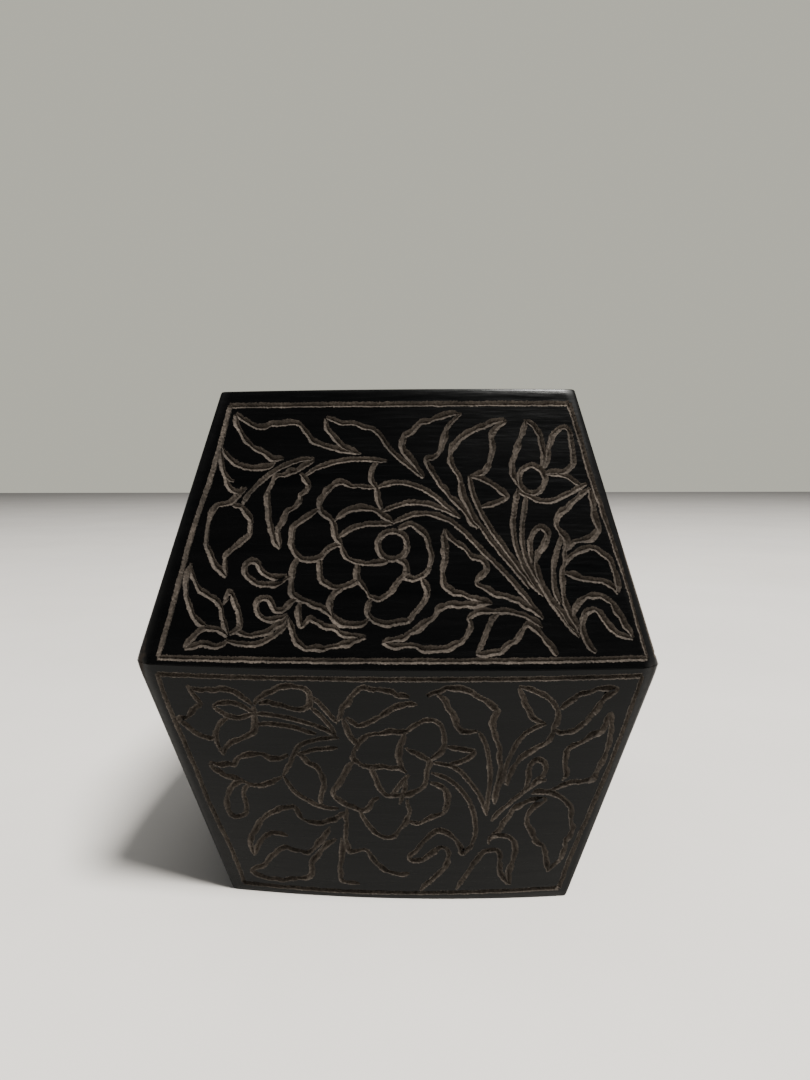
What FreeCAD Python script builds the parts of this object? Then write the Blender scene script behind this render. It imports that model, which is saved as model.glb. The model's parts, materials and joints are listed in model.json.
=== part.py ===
import FreeCAD, Part
import math
import os

V = FreeCAD.Vector

# A box for an ink stick and an ink stone. It is square in plan, carved and black lacquered,
# and widest at a ridge halfway up: the half above the ridge is a lid that lifts straight off.
# All four sides bulge a little. Sizes are in millimetres. The origin is the middle of the
# underside, +Z is up and the front faces -Y.

# The outside, measured corner to corner across one side
end_width = 90.6
ridge_width = 126.6
body_height = 67.25
lid_height = 67.25
ridge_band = 2.4
end_bulge = 3.2
ridge_bulge = 4.4
end_corner_radius = 1.2
ridge_corner_radius = 6.0

# The boards
side_board = 7.0
bottom_board_thickness = 7.0
top_board_thickness = 7.0
tongue_depth = 2.5
tongue_height = 2.6
spline_width = 6.0
spline_thickness = 1.8
spline_end_gap = 6.0

# The lip, four strips glued round the body's mouth that keep the lid in place
lip_below = 14.0
lip_rise = 6.0
lip_play = 0.4

# The tray for the ink stick, carried on two ledges
tray_seat = 46.0
tray_wall_gap = 1.2
tray_play = 0.5
tray_floor_thickness = 3.0
tray_rail_thickness = 3.0
tray_rail_height = 11.0
divider_thickness = 4.0
divider_height = 15.0
ledge_width = 7.0
ledge_thickness = 4.0
ledge_length = 60.0

# The ink stick and its trough in the tray
stick_width = 20.0
stick_thickness = 9.0
stick_bevel = 1.2
stick_play = 0.6
stick_end_gap = 2.0
felt_thickness = 1.0
felt_margin = 0.5

# The ink stone and the bars on the bottom board that hold it in place
stone_width = 50.0
stone_thickness = 16.0
stone_corner_radius = 5.0
stone_rim = 4.5
stone_face_depth = 1.5
stone_well_depth = 7.5
stone_well_length = 16.0
stone_slope_length = 14.0
stone_play = 0.5
stone_end_bar = 3.5
stone_bar_height = 6.0

total_height = body_height + lid_height
band_low = body_height - ridge_band / 2.0
band_high = body_height + ridge_band / 2.0
reach = 2.0 * ridge_width


def between(end_value, ridge_value, z):
    """A size that changes steadily from the ridge's value to the value at the base and the top."""
    if z <= band_low:
        share = z / band_low
    elif z >= band_high:
        share = (total_height - z) / (total_height - band_high)
    else:
        share = 1.0
    return end_value + (ridge_value - end_value) * share


def half_width(z):
    """Half the outside width, corner to corner, at the height z."""
    return between(end_width, ridge_width, z) / 2.0


def outline(inset, z, rounded=False):
    """A square with arcs for sides, set in from the outside, with round or sharp corners."""
    half = half_width(z) - inset
    rise = between(end_bulge, ridge_bulge, z)
    side_radius = (half ** 2 + rise ** 2) / (2.0 * rise)
    centre = side_radius - half - rise
    if rounded:
        radius = between(end_corner_radius, ridge_corner_radius, z)
        reach_in = side_radius - radius
        corner = (math.sqrt(2.0 * reach_in ** 2 - centre ** 2) - centre) / 2.0
        end_x = corner * side_radius / reach_in
        end_y = (corner + centre) * side_radius / reach_in - centre
        tip = corner + radius / math.sqrt(2.0)
    else:
        end_x = half
        end_y = half
    edges = []
    for turn in range(4):
        side = Part.Arc(V(-end_x, -end_y, z), V(0, -half - rise, z), V(end_x, -end_y, z)).toShape()
        edges.append(turned(side, turn))
        if rounded:
            bend = Part.Arc(V(end_x, -end_y, z), V(tip, -tip, z), V(end_y, -end_x, z)).toShape()
            edges.append(turned(bend, turn))
    return Part.Wire(edges)


def turned(shape, quarter_turns):
    """A copy of the shape, turned about the middle of the box by quarter turns."""
    copy = shape.copy()
    copy.rotate(V(0, 0, 0), V(0, 0, 1), 90.0 * quarter_turns)
    return copy


def block(x0, x1, y0, y1, z0, z1):
    """A rectangular block between two corners."""
    return Part.makeBox(x1 - x0, y1 - y0, z1 - z0, V(x0, y0, z0))


def slab(z0, z1):
    """A wide flat slab that cuts a shape off at two heights."""
    return block(-reach, reach, -reach, reach, z0, z1)


def one_solid(shape):
    """The single solid of a finished shape, with split faces joined again."""
    clean = shape.removeSplitter()
    assert len(clean.Solids) == 1, "a piece came apart"
    return clean.Solids[0]


def quarter(quarter_turns):
    """The wedge between the two mitre planes of one side: 0 is the front, then right, back, left."""
    points = [V(0, 0, 0), V(-reach, -reach, 0), V(reach, -reach, 0), V(0, 0, 0)]
    wedge = Part.Face(Part.makePolygon(points)).extrude(V(0, 0, 2.0 * total_height))
    return turned(wedge, quarter_turns)


def body_form(inset, rounded=False):
    """The half below the parting line, solid, set in from the outside."""
    heights = [0.0, band_low, body_height]
    return Part.makeLoft([outline(inset, z, rounded) for z in heights], True, True)


def lid_form(inset, rounded=False):
    """The half above the parting line, solid, set in from the outside."""
    heights = [body_height, band_high, total_height]
    return Part.makeLoft([outline(inset, z, rounded) for z in heights], True, True)


def board_and_tongue(form, z0, z1, tongue_z0):
    """A board that fills the inside between two heights, with a tongue round its edge."""
    board = form(side_board).common(slab(z0, z1))
    tongue = form(side_board - tongue_depth).common(slab(tongue_z0, tongue_z0 + tongue_height))
    return board.fuse(tongue)


def corner_spline(z0, z1, corner):
    """A loose tongue inside one mitred corner, half in each board."""
    ends = []
    for z in (z0, z1):
        middle = half_width(z) - side_board / 2.0
        along = spline_width / 2.0
        thick = spline_thickness / 2.0
        points = []
        for across, deep in ((-along, -thick), (along, -thick), (along, thick), (-along, thick)):
            x = middle + (deep + across) / math.sqrt(2.0)
            y = -middle + (across - deep) / math.sqrt(2.0)
            points.append(V(x, y, z))
        points.append(points[0])
        ends.append(Part.makePolygon(points))
    return turned(Part.makeLoft(ends, True, True), corner)


def side_panels(form, prefix, board, splines):
    """The four mitred side boards of one half, grooved for its board and its splines."""
    shell = form(0.0, True).cut(form(side_board)).cut(board)
    for spline in splines:
        shell = shell.cut(spline)
    made = {}
    for quarter_turns, side in enumerate(("front", "right", "back", "left")):
        made[prefix + "_" + side + "_panel"] = one_solid(shell.common(quarter(quarter_turns)))
    return made


def make_body():
    """The lower half: four side panels, the bottom board and the splines in the corners."""
    tongue_z0 = (bottom_board_thickness - tongue_height) / 2.0
    board = one_solid(board_and_tongue(body_form, 0.0, bottom_board_thickness, tongue_z0))
    spline_z0 = bottom_board_thickness + spline_end_gap
    spline_z1 = band_low - spline_end_gap
    splines = [corner_spline(spline_z0, spline_z1, corner) for corner in range(4)]
    made = side_panels(body_form, "body", board, splines)
    made["bottom_board"] = board
    made["body_corner_splines"] = Part.makeCompound(splines)
    return made


def make_lid():
    """The upper half: four side panels, the top board and the splines in the corners."""
    board_z0 = total_height - top_board_thickness
    tongue_z0 = board_z0 + (top_board_thickness - tongue_height) / 2.0
    board = one_solid(board_and_tongue(lid_form, board_z0, total_height, tongue_z0))
    spline_z0 = band_high + spline_end_gap
    spline_z1 = board_z0 - spline_end_gap
    splines = [corner_spline(spline_z0, spline_z1, corner) for corner in range(4)]
    made = side_panels(lid_form, "lid", board, splines)
    made["lid_top_board"] = board
    made["lid_corner_splines"] = Part.makeCompound(splines)
    return made


# Half the width of the square well inside the lip, which the tray slides in
well_half = half_width(tray_seat) - side_board - tray_wall_gap + tray_play
tray_half = well_half - tray_play


def make_lip():
    """Four strips that follow the curved walls outside and are straight inside."""
    lower = body_form(side_board).common(slab(body_height - lip_below, body_height))
    upper = lid_form(side_board + lip_play).common(slab(body_height, body_height + lip_rise))
    well = block(-well_half, well_half, -well_half, well_half, 0.0, total_height)
    ring = lower.fuse(upper).cut(well)
    made = {}
    for quarter_turns, side in enumerate(("front", "right", "back", "left")):
        made["lip_" + side + "_strip"] = one_solid(ring.common(quarter(quarter_turns)))
    return made


def make_ledges():
    """Two short strips on the left and right walls that the tray rests on."""
    inside = body_form(side_board)
    bar = block(tray_half - ledge_width, reach, -ledge_length / 2.0, ledge_length / 2.0,
                tray_seat - ledge_thickness, tray_seat)
    right = one_solid(inside.common(bar))
    return {"tray_ledge_right": right, "tray_ledge_left": turned(right, 2)}


def make_tray():
    """A shallow tray: floor, four rails, a divider to lift it by, and felt under the ink stick."""
    floor_top = tray_seat + tray_floor_thickness
    rail_top = floor_top + tray_rail_height
    inner = tray_half - tray_rail_thickness
    trough_back = -inner + stick_width + 2.0 * stick_play
    made = {}
    made["tray_floor"] = block(-tray_half, tray_half, -tray_half, tray_half, tray_seat, floor_top)
    front = block(-tray_half, tray_half, -tray_half, -inner, floor_top, rail_top)
    right = block(inner, tray_half, -inner, inner, floor_top, rail_top)
    made["tray_front_rail"] = front
    made["tray_back_rail"] = turned(front, 2)
    made["tray_right_rail"] = right
    made["tray_left_rail"] = turned(right, 2)
    made["tray_divider"] = block(-inner, inner, trough_back, trough_back + divider_thickness,
                                 floor_top, floor_top + divider_height)
    made["stick_felt"] = block(-inner + felt_margin, inner - felt_margin,
                               -inner + felt_margin, trough_back - felt_margin,
                               floor_top, floor_top + felt_thickness)
    return made


def make_stick():
    """The ink stick: a flat bar with bevelled edges, lying in the tray's front trough."""
    inner = tray_half - tray_rail_thickness
    half_x = inner - stick_end_gap
    front_y = -inner + stick_play
    base = tray_seat + tray_floor_thickness + felt_thickness
    bar = block(-half_x, half_x, front_y, front_y + stick_width, base, base + stick_thickness)
    return {"ink_stick": bar.makeChamfer(stick_bevel, bar.Edges)}


def make_stone():
    """The ink stone, the felt under it and the four bars that hold it in place."""
    floor = bottom_board_thickness
    base = floor + felt_thickness
    top = base + stone_thickness
    half_x = half_width(floor) - side_board - stone_end_bar - stone_play
    half_y = stone_width / 2.0
    stone = block(-half_x, half_x, -half_y, half_y, base, top)
    uprights = [edge for edge in stone.Edges if edge.BoundBox.ZLength > stone_thickness / 2.0]
    stone = stone.makeFillet(stone_corner_radius, uprights)

    # The grinding face is sunk inside a rim, and slopes down into a well at the left end
    left = -half_x + stone_rim
    right = half_x - stone_rim
    face = top - stone_face_depth
    well = top - stone_well_depth
    profile = [V(left, 0, well), V(left + stone_well_length, 0, well),
               V(left + stone_well_length + stone_slope_length, 0, face), V(right, 0, face),
               V(right, 0, top + stone_rim), V(left, 0, top + stone_rim), V(left, 0, well)]
    hollow = Part.Face(Part.makePolygon(profile)).extrude(V(0, stone_width - 2.0 * stone_rim, 0))
    hollow.translate(V(0, -half_y + stone_rim, 0))
    stone = stone.cut(hollow)

    inside = body_form(side_board).common(slab(floor, floor + stone_bar_height))
    play_x = half_x + stone_play
    play_y = half_y + stone_play
    front = inside.common(block(-reach, reach, -reach, -play_y, 0.0, total_height))
    right_bar = inside.common(block(play_x, reach, -play_y, play_y, 0.0, total_height))
    made = {"ink_stone": one_solid(stone)}
    made["stone_felt"] = block(-half_x, half_x, -half_y, half_y, floor, base)
    made["stone_front_bar"] = one_solid(front)
    made["stone_back_bar"] = turned(made["stone_front_bar"], 2)
    made["stone_right_bar"] = one_solid(right_bar)
    made["stone_left_bar"] = turned(made["stone_right_bar"], 2)
    return made


os.makedirs("parts", exist_ok=True)
pieces = {}
for make in (make_body, make_lid, make_lip, make_ledges, make_tray, make_stick, make_stone):
    pieces.update(make())
for node, shape in pieces.items():
    assert shape.isValid(), node
    shape.exportStep("parts/" + node + ".step")
    print(node, len(shape.Solids), round(shape.Volume / 1000.0, 2), "cm3")
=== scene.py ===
import json
import math
import bpy
from mathutils import Matrix, Vector, noise

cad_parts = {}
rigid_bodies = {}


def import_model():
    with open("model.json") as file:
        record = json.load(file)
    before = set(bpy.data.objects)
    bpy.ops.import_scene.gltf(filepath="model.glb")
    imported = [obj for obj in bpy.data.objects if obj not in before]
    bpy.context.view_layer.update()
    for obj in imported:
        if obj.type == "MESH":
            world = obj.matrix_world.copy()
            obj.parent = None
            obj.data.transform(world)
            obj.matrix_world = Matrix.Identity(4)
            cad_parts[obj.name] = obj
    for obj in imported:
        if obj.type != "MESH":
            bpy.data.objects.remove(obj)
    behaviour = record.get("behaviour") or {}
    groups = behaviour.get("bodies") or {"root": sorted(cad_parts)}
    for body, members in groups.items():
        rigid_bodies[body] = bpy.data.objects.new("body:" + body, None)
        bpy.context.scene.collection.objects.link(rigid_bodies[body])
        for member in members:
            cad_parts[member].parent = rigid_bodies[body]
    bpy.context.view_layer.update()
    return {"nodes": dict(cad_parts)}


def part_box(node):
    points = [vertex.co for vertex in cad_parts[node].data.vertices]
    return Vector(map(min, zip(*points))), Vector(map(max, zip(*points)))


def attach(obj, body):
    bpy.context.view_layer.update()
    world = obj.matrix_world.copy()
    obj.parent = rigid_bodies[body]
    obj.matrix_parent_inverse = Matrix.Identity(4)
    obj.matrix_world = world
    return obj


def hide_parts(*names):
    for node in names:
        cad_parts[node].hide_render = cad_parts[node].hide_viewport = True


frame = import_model()


# The four walls of the body
# Close-grained hardwood boards that lean outwards and bow a little, mitred at the corners.
# They are lacquered black first, then the flower scroll and its frame are cut through the
# lacquer with a small gouge, so that the cuts show bare brown wood.

mm = 0.001
end_half = 45.3
ridge_half = 63.3
ridge_height = 67.25
box_height = 134.5
ridge_band = 2.4
end_bow = 3.2
ridge_bow = 4.4
end_round = 1.2
ridge_round = 6.0
rubbed_tip = 0.992
wall_thickness = 7.0
bend_steps = 5
bow_steps = 64
wall_stations = bow_steps + 2 * bend_steps


def swell(z):
    """How far the outline at height z has grown, from 0 at the narrow ends to 1 at the edge
    of the solid model's flat band. The faces run on past it and meet in a sharp edge."""
    return (ridge_height - abs(z - ridge_height)) / (ridge_height - ridge_band / 2)


def face_y(x, z, inset=0.0):
    """Where the bowed front face stands, on its outline before the corners are rounded."""
    grown = swell(z)
    half = end_half + (ridge_half - end_half) * grown - inset
    bow = end_bow + (ridge_bow - end_bow) * grown
    radius = (half * half + bow * bow) / (2 * bow)
    return radius - half - bow - math.sqrt(radius * radius - x * x)


def wall_outside(station, z):
    """A point of the wall's outside, at one of its stations from mitre to mitre. The tips
    of the ridge are rubbed round."""
    step = station - wall_stations / 2
    share = max(0.0, (abs(step) - bow_steps / 2) / bend_steps)
    grown = swell(z)
    grown -= share * max(0.0, grown - rubbed_tip)
    half = end_half + (ridge_half - end_half) * grown
    bow = end_bow + (ridge_bow - end_bow) * grown
    turn = end_round + (ridge_round - end_round) * grown
    radius = (half * half + bow * bow) / (2 * bow)
    centre = radius - half - bow
    reach = radius - turn
    corner = (math.sqrt(2 * reach * reach - centre * centre) - centre) / 2
    side = -1 if step < 0 else 1
    if abs(step) <= bow_steps / 2:
        x = corner * radius / reach * abs(step) / (bow_steps / 2)
        return side * x, centre - math.sqrt(radius * radius - x * x)
    first = math.asin(corner / reach)
    angle = first + (math.pi / 4 - first) * share
    return side * (corner + turn * math.sin(angle)), -corner - turn * math.cos(angle)


def wall_inside(station, z):
    """The same station on the inside of the wall, where the corner is sharp."""
    half = end_half + (ridge_half - end_half) * swell(z) - wall_thickness
    tip = wall_outside(wall_stations, z)[0]
    x = wall_outside(station, z)[0] * half / tip
    return x, face_y(x, z, wall_thickness)


def deselect():
    if bpy.context.object and bpy.context.object.mode != "OBJECT":
        bpy.ops.object.mode_set(mode="OBJECT")
    bpy.ops.object.select_all(action="DESELECT")


def pick(piece):
    """Selects one piece alone and makes it the active one."""
    deselect()
    piece.select_set(True)
    bpy.context.view_layer.objects.active = piece


def wall_board(name, heights, worn_edge):
    """A board between two mitres, bowed and leaning, with one row of faces between heights.
    worn_edge maps a height to how far its edge is rubbed back there."""
    deselect()
    bpy.ops.mesh.primitive_cube_add(size=2)
    board = bpy.context.object
    board.name = name
    board.data.name = name
    rows = len(heights) - 1
    for axis, cuts in ((0, wall_stations - 1), (2, rows - 1)):
        bpy.ops.object.mode_set(mode="OBJECT")
        for item in (board.data.vertices, board.data.polygons):
            item.foreach_set("select", [False] * len(item))
        for edge in board.data.edges:
            a, b = (board.data.vertices[v].co for v in edge.vertices)
            edge.select = abs(a[axis] - b[axis]) > 1
        bpy.context.tool_settings.mesh_select_mode = (False, True, False)
        bpy.ops.object.mode_set(mode="EDIT")
        bpy.ops.mesh.subdivide(number_cuts=cuts)
    bpy.ops.object.mode_set(mode="OBJECT")
    for vertex in board.data.vertices:
        station = round((vertex.co.x + 1) / 2 * wall_stations)
        z = heights[round((vertex.co.z + 1) / 2 * rows)]
        if vertex.co.y < 0:
            x, y = wall_outside(station, z)
            rubbed = 1 - worn_edge.get(z, 0) / ridge_half
            x, y = x * rubbed, y * rubbed
        else:
            x, y = wall_inside(station, z)
        vertex.co = Vector((x, y, z)) * mm
    return board


def new_finish(name):
    """An empty material with its shader and object coordinates, ready to be filled."""
    finish = bpy.data.materials.new(name)
    finish.use_nodes = True
    tree = finish.node_tree
    shader = tree.nodes["Principled BSDF"]
    coords = tree.nodes.new("ShaderNodeTexCoord").outputs["Object"]
    return finish, tree, shader, coords


def grain(tree, coords, size, turned=(0, 0, 0), detail=6, rough=0.6, warp=0.0):
    """Noise on object coordinates, drawn out by size = repeats per metre on each axis."""
    mapping = tree.nodes.new("ShaderNodeMapping")
    mapping.inputs["Scale"].default_value = size
    mapping.inputs["Rotation"].default_value = turned
    tree.links.new(coords, mapping.inputs["Vector"])
    clouds = tree.nodes.new("ShaderNodeTexNoise")
    clouds.inputs["Scale"].default_value = 1
    clouds.inputs["Detail"].default_value = detail
    clouds.inputs["Roughness"].default_value = rough
    clouds.inputs["Distortion"].default_value = warp
    tree.links.new(mapping.outputs["Vector"], clouds.inputs["Vector"])
    return clouds.outputs["Fac"]


def ramp(tree, source, stops):
    """A colour ramp fed by source, with its stops as (place, grey or colour)."""
    node = tree.nodes.new("ShaderNodeValToRGB")
    while len(node.color_ramp.elements) < len(stops):
        node.color_ramp.elements.new(0.5)
    for element, (place, value) in zip(node.color_ramp.elements, stops):
        element.position = place
        colour = value if isinstance(value, tuple) else (value, value, value)
        element.color = (*colour, 1)
    tree.links.new(source, node.inputs["Fac"])
    return node.outputs["Color"]


def math_node(tree, operation, first, second=None, clamp=False):
    node = tree.nodes.new("ShaderNodeMath")
    node.operation = operation
    node.use_clamp = clamp
    for slot, value in zip(node.inputs, (first, second)):
        if value is None:
            continue
        if isinstance(value, (int, float)):
            slot.default_value = value
        else:
            tree.links.new(value, slot)
    return node.outputs["Value"]


def blend(tree, *parts):
    """Adds up sources, each given with its share."""
    total = None
    for source, share in parts:
        part = math_node(tree, "MULTIPLY", source, share)
        total = part if total is None else math_node(tree, "ADD", total, part)
    return total


def over(tree, share, under, colour):
    """A plain colour laid over another node's colour where share is 1."""
    node = tree.nodes.new("ShaderNodeMix")
    node.data_type = "RGBA"
    below, above = (slot for slot in node.inputs if slot.type == "RGBA")
    tree.links.new(share, node.inputs["Factor"])
    tree.links.new(under, below)
    above.default_value = (*colour, 1)
    return next(slot for slot in node.outputs if slot.type == "RGBA")


def bump(tree, shader, heights):
    """Chains bumps of (source, depth in metres) and joins them to the shader."""
    last = None
    for source, depth in heights:
        node = tree.nodes.new("ShaderNodeBump")
        node.inputs["Strength"].default_value = 1
        node.inputs["Distance"].default_value = depth
        tree.links.new(source, node.inputs["Height"])
        if last:
            tree.links.new(last.outputs["Normal"], node.inputs["Normal"])
        last = node
    tree.links.new(last.outputs["Normal"], shader.inputs["Normal"])


black = (0.0008, 0.0009, 0.0010)
thin_black = (0.0018, 0.0018, 0.0019)
rubbed_brown = (0.021, 0.0155, 0.012)
ridge_wear_reach = 9.0
walls_begin = 42.0


def black_lacquer(name, along):
    """Thin black lacquer over straight grain that runs along x or y. It is dull on the
    corners, and has rubbed through to brown in spots there and along the ridge."""
    finish, tree, shader, coords = new_finish(name)
    fine = {"x": (90, 900, 1500), "y": (900, 90, 1500)}[along]
    broad = {"x": (14, 60, 240), "y": (60, 14, 240)}[along]
    lines = grain(tree, coords, fine, detail=5, rough=0.65)
    waves = grain(tree, coords, broad, detail=4, rough=0.5)
    cloud = grain(tree, coords, (45, 45, 45), detail=5, rough=0.62)
    speck = grain(tree, coords, (700, 700, 700), detail=3, rough=0.55)
    split = tree.nodes.new("ShaderNodeSeparateXYZ")
    tree.links.new(coords, split.inputs["Vector"])
    across = math_node(tree, "ABSOLUTE", split.outputs["X"])
    deep = math_node(tree, "ABSOLUTE", split.outputs["Y"])
    small = math_node(tree, "MINIMUM", across, deep)
    large = math_node(tree, "MAXIMUM", across, deep)
    diagonal = math_node(tree, "DIVIDE", small, large)
    corner_wear = ramp(tree, diagonal, [(0.93, 0.0), (1.0, 1.0)])
    on_walls = math_node(tree, "GREATER_THAN", large, walls_begin * mm)
    corner_wear = math_node(tree, "MULTIPLY", corner_wear, on_walls)
    off_ridge = math_node(tree, "SUBTRACT", split.outputs["Z"], ridge_height * mm)
    off_ridge = math_node(tree, "ABSOLUTE", off_ridge)
    off_ridge = math_node(tree, "MULTIPLY", off_ridge, 1 / (ridge_wear_reach * mm), clamp=True)
    ridge_wear = ramp(tree, off_ridge, [(0.0, 1.0), (0.3, 0.5), (1.0, 0.0)])
    tip_wear = math_node(tree, "MULTIPLY", corner_wear, ridge_wear)
    wear = blend(tree, (corner_wear, 0.15), (tip_wear, 0.2), (ridge_wear, 0.05),
                 (cloud, 0.8), (speck, 0.34))
    worn = ramp(tree, wear, [(0.86, 0.0), (0.98, 1.0)])
    body = ramp(tree, waves, [(0.3, black), (0.7, thin_black)])
    tree.links.new(over(tree, worn, body, rubbed_brown), shader.inputs["Base Color"])
    gloss = ramp(tree, lines, [(0.25, 0.16), (0.75, 0.32)])
    dull = blend(tree, (worn, 0.25), (corner_wear, 0.4))
    tree.links.new(math_node(tree, "ADD", gloss, dull), shader.inputs["Roughness"])
    shader.inputs["Specular IOR Level"].default_value = 0.107
    shader.inputs["Specular Tint"].default_value = (0.95, 0.98, 1.0, 1)
    bump(tree, shader, [(waves, 0.00012), (lines, 0.00003), (speck, 0.000015)])
    return finish


dusty_dark = (0.011, 0.0085, 0.006)
dusty_brown = (0.034, 0.027, 0.021)
dusty_pale = (0.081, 0.067, 0.055)


def cut_wood(name):
    """Bare wood in the gouge cuts, brown-grey with dust, darker in places."""
    finish, tree, shader, coords = new_finish(name)
    patch = grain(tree, coords, (120, 120, 120), detail=5, rough=0.6)
    fibre = grain(tree, coords, (1700, 1700, 2000), detail=3, rough=0.6)
    mixed = blend(tree, (patch, 0.45), (fibre, 0.55))
    colour = ramp(tree, mixed, [(0.36, dusty_dark), (0.5, dusty_brown), (0.64, dusty_pale)])
    tree.links.new(colour, shader.inputs["Base Color"])
    shader.inputs["Roughness"].default_value = 0.78
    shader.inputs["Specular IOR Level"].default_value = 0.3
    bump(tree, shader, [(fibre, 0.00012), (patch, 0.0001)])
    return finish


# The gouge: its width at the face and its depth, then how wide it is at its rim, halfway
# down and at the bottom, as shares of the width at the face
gouge_width = 1.6
gouge_depth = 0.95
rim_height = 0.45
rim_share = 1.45
middle_share = 0.52
bottom_share = 0.1

# The hand: each kind of cut with its width as a share of the gouge's and its wander
kinds_of_cut = {"frame": (0.85, 0.12), "stems": (0.84, 0.15), "leaves": (0.95, 0.5)}
frame_cuts = 4
stem_turning = 3.5
path_step = 0.28
wander_length = 2.5
full_wander_size = 16
pressure_length = 3.1
pressure_change = 0.14
end_length = 1.8
end_share = 0.5
nick_size = 0.4
nick_depth = 0.45
merge_distance = 0.001

# One fixed start for the wander, so that every run cuts the same lines
wander_start = 1
noise.seed_set(wander_start)


def hand_path(stroke, shift, wander):
    """A smooth path through a stroke's points that wanders as a hand does. Cuts that meet
    wander much the same way, so they stay joined, and small ones wander less."""
    closed = stroke[0] == stroke[-1]
    points = [Vector((x + shift[0], z + shift[1], 0)) for x, z in stroke]
    longest = max((point - points[0]).length for point in points)
    wander *= min(1.0, longest / full_wander_size)
    if closed:
        points = [points[-2]] + points + [points[1]]
    else:
        points = [2 * points[0] - points[1]] + points + [2 * points[-1] - points[-2]]
    path = []
    for before, here, after, beyond in zip(points, points[1:], points[2:], points[3:]):
        steps = max(2, round((after - here).length / path_step))
        for step in range(steps):
            t = step / steps
            path.append(0.5 * (2 * here + (after - before) * t
                               + (2 * before - 5 * here + 4 * after - beyond) * t ** 2
                               + (3 * here - before - 3 * after + beyond) * t ** 3))
    if not closed:
        path.append(points[-2])
    return closed, [point + noise.noise_vector(point / wander_length) * wander for point in path]


def gouge_lines(name, strokes, shift, kind):
    """Cuts as one object, drawn flat with the section of a V gouge. A free cut is shallow
    and thin where the tool enters and leaves the wood."""
    width, wander = kinds_of_cut[kind]
    half = gouge_width / 2
    flank = [(half * rim_share, rim_height), (half, 0.0),
             (half * middle_share, -gouge_depth / 2), (half * bottom_share, -gouge_depth)]
    shape = [(-across, deep) for across, deep in flank] + flank[::-1]
    deselect()
    bpy.ops.curve.primitive_bezier_circle_add(radius=1)
    section = bpy.context.object
    section.data.splines.clear()
    outline = section.data.splines.new("POLY")
    outline.points.add(len(shape) - 1)
    for point, (across, deep) in zip(outline.points, shape):
        point.co = (across * mm, deep * mm, 0, 1)
    outline.use_cyclic_u = True
    section.data.dimensions = "2D"
    section.data.fill_mode = "NONE"
    bpy.ops.curve.primitive_bezier_curve_add()
    lines = bpy.context.object
    lines.name = name
    lines.data.splines.clear()
    lines.data.dimensions = "3D"
    lines.data.twist_mode = "Z_UP"
    lines.data.bevel_mode = "OBJECT"
    lines.data.bevel_object = section
    lines.data.use_fill_caps = True
    for number, stroke in enumerate(strokes):
        closed, path = hand_path(stroke, shift, wander)
        line = lines.data.splines.new("POLY")
        line.points.add(len(path) - 1)
        line.use_cyclic_u = closed
        for point, here in zip(line.points, path):
            point.co = (*(here * mm), 1)
            from_end = min((here - path[0]).length, (here - path[-1]).length) / end_length
            thin = 1.0
            if kind != "frame" and not closed:
                thin = end_share + (1 - end_share) * min(1.0, from_end)
            pressure = noise.noise(here / pressure_length + Vector((0, 0, number)))
            point.radius = width * thin * (1 + pressure_change * pressure)
    pick(lines)
    bpy.ops.object.convert(target="MESH")
    lines = bpy.context.object
    bpy.ops.object.mode_set(mode="EDIT")
    bpy.ops.mesh.select_all(action="SELECT")
    bpy.ops.mesh.remove_doubles(threshold=merge_distance * mm)
    bpy.ops.mesh.normals_make_consistent(inside=False)
    pick(section)
    bpy.ops.object.delete()
    return lines


def nick(lines):
    """The small nicks that a hand tool leaves, pushed into the cuts by a cloud texture."""
    clouds = bpy.data.textures.new("nicks", "CLOUDS")
    clouds.noise_scale = nick_size * mm
    clouds.noise_depth = 1
    pick(lines)
    press = lines.modifiers.new("nicks", "DISPLACE")
    press.texture = clouds
    press.texture_coords = "LOCAL"
    press.direction = "NORMAL"
    press.mid_level = 0.5
    press.strength = nick_depth * mm
    bpy.ops.object.modifier_apply(modifier="nicks")


def turning(stroke):
    """How many degrees a stroke turns for each millimetre of its way."""
    turned = 0
    for before, here, after in zip(stroke, stroke[1:], stroke[2:]):
        first = math.atan2(here[1] - before[1], here[0] - before[0])
        second = math.atan2(after[1] - here[1], after[0] - here[0])
        turned += abs((second - first + math.pi) % (2 * math.pi) - math.pi)
    way = sum(math.dist(here, after) for here, after in zip(stroke, stroke[1:]))
    return math.degrees(turned) / way


def cut_lines(name, strokes, shift):
    """The first strokes are the frame, cut along a rule. The stems are cut in one push, and
    petals and leaves, which turn a lot, with a hand that wanders. All cuts show nicks."""
    groups = {"frame": strokes[:frame_cuts], "stems": [], "leaves": []}
    for stroke in strokes[frame_cuts:]:
        groups["stems" if turning(stroke) < stem_turning else "leaves"].append(stroke)
    lines = [gouge_lines(name + "_" + kind, group, shift, kind)
             for kind, group in groups.items() if group]
    for part in lines:
        nick(part)
    pick(lines[0])
    for part in lines:
        part.select_set(True)
    bpy.ops.object.join()
    return lines[0]


def lay_on_face(lines):
    """Bends the flat lines onto the bowed face, each point along the face's own normal."""
    step = 0.05
    for vertex in lines.data.vertices:
        x, z, out = (value / mm for value in vertex.co)
        low = max(z - step, 0.0)
        high = min(z + step, box_height)
        normal = Vector((
            (face_y(x + step, z) - face_y(x - step, z)) / (2 * step),
            -1,
            (face_y(x, high) - face_y(x, low)) / (high - low),
        )).normalized()
        vertex.co = (Vector((x, face_y(x, z), z)) + normal * out) * mm


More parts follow.
